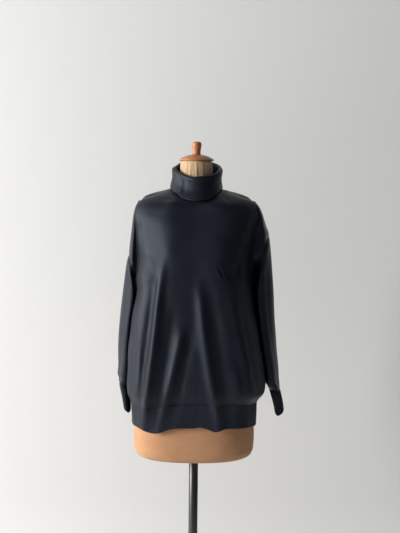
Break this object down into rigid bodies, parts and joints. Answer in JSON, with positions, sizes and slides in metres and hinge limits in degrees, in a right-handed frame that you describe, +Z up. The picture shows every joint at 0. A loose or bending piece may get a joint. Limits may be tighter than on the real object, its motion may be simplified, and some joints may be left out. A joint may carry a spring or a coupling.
{
  "type": "turtleneck sweater on a dress form",
  "caption": "Loose dark knitted turtleneck sweater with ribbed cuffs and hem, worn by a limbless dress form on a pole stand with a round foot.",
  "frame": {"origin": "centre of the stand foot's underside, on the floor, under the pole", "axes": "+Z up the pole, -Y the way the sweater's front faces, +X to the right of the picture"},
  "size_m": [0.492, 0.3003, 1.547],
  "materials": {
    "knit": "matte near-black blue-grey fine knit",
    "linen": "tan linen cover, matte",
    "neck_linen": "pale linen cover, matte",
    "wood": "varnished orange-brown",
    "pole_metal": "dark satin",
    "foot_metal": "dark satin"
  },
  "bodies": {
    "root": {"front": "knit", "back": "knit", "sleeve_right": "knit", "sleeve_left": "knit", "hem_rib": "knit", "cuff_right": "knit", "cuff_left": "knit", "collar": "knit", "form_torso": "linen", "form_neck": "neck_linen", "neck_cap": "wood", "cap_knob": "wood", "stand_pole": "pole_metal", "stand_foot": "foot_metal"}
  },
  "joints": []
}
